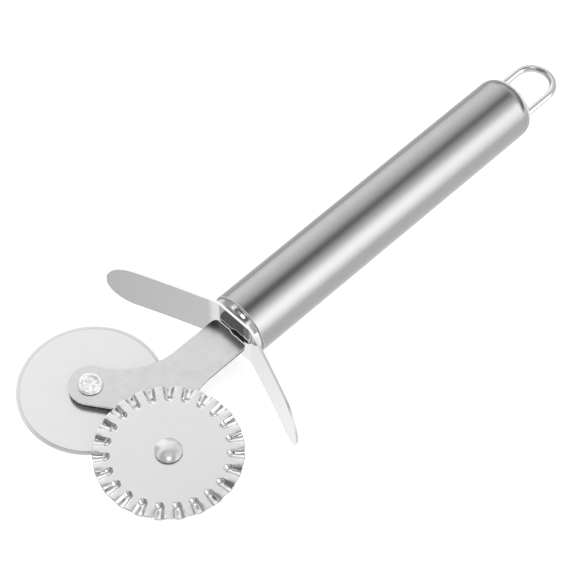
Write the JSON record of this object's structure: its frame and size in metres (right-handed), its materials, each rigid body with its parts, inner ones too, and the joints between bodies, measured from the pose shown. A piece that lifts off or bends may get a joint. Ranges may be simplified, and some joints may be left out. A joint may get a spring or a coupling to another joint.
{
  "type": "pastry cutter wheel",
  "caption": "Hand-held pastry cutter with a plain and a fluted wheel on a forked plate, a bent finger guard and a tubular handle with a wire hanging loop.",
  "frame": {"origin": "on the handle's axis, at the front rim of the handle tube", "axes": "+X along the handle towards the hanging loop, +Y towards the plain wheel's side, +Z normal to the forked plate on the fluted wheel's side"},
  "size_m": [0.2086, 0.0822, 0.021],
  "materials": {
    "barrel_steel": "satin polished, fine grain along the tube",
    "wire_steel": "bright polished wire",
    "polished_steel": "bright polished, pressed neck",
    "guard_steel": "smooth satin sheet",
    "plate_steel": "matte tumbled sheet",
    "plain_wheel_steel": "bright satin with a ground bevel",
    "fluted_wheel_steel": "bright satin sheet, flutes polished",
    "rivet_steel": "bright polished",
    "washer_steel": "plain stamped",
    "core_nylon": "moulded nylon"
  },
  "bodies": {
    "frame": {"handle_tube": "barrel_steel", "rear_cap": "barrel_steel", "hanging_loop": "wire_steel", "front_ferrule": "polished_steel", "finger_guard": "guard_steel", "yoke_plate": "plate_steel", "plain_wheel_rivet": "rivet_steel", "fluted_wheel_rivet": "rivet_steel", "plain_wheel_spacer": "washer_steel", "fluted_wheel_spacer": "washer_steel", "plain_wheel_washer": "washer_steel", "fluted_wheel_washer": "washer_steel", "tang_core": "core_nylon"},
    "plain_wheel": {"plain_wheel": "plain_wheel_steel"},
    "fluted_wheel": {"fluted_wheel": "fluted_wheel_steel"}
  },
  "joints": [
    {"name": "plain_wheel_spin", "type": "hinge", "parent": "frame", "child": "plain_wheel", "pos_m": [-0.0466, 0.0157, -0.00215], "axis": [0, 0, 1], "continuous": true},
    {"name": "fluted_wheel_spin", "type": "hinge", "parent": "frame", "child": "fluted_wheel", "pos_m": [-0.0466, -0.0186, 0.00275], "axis": [0, 0, 1], "continuous": true}
  ]
}
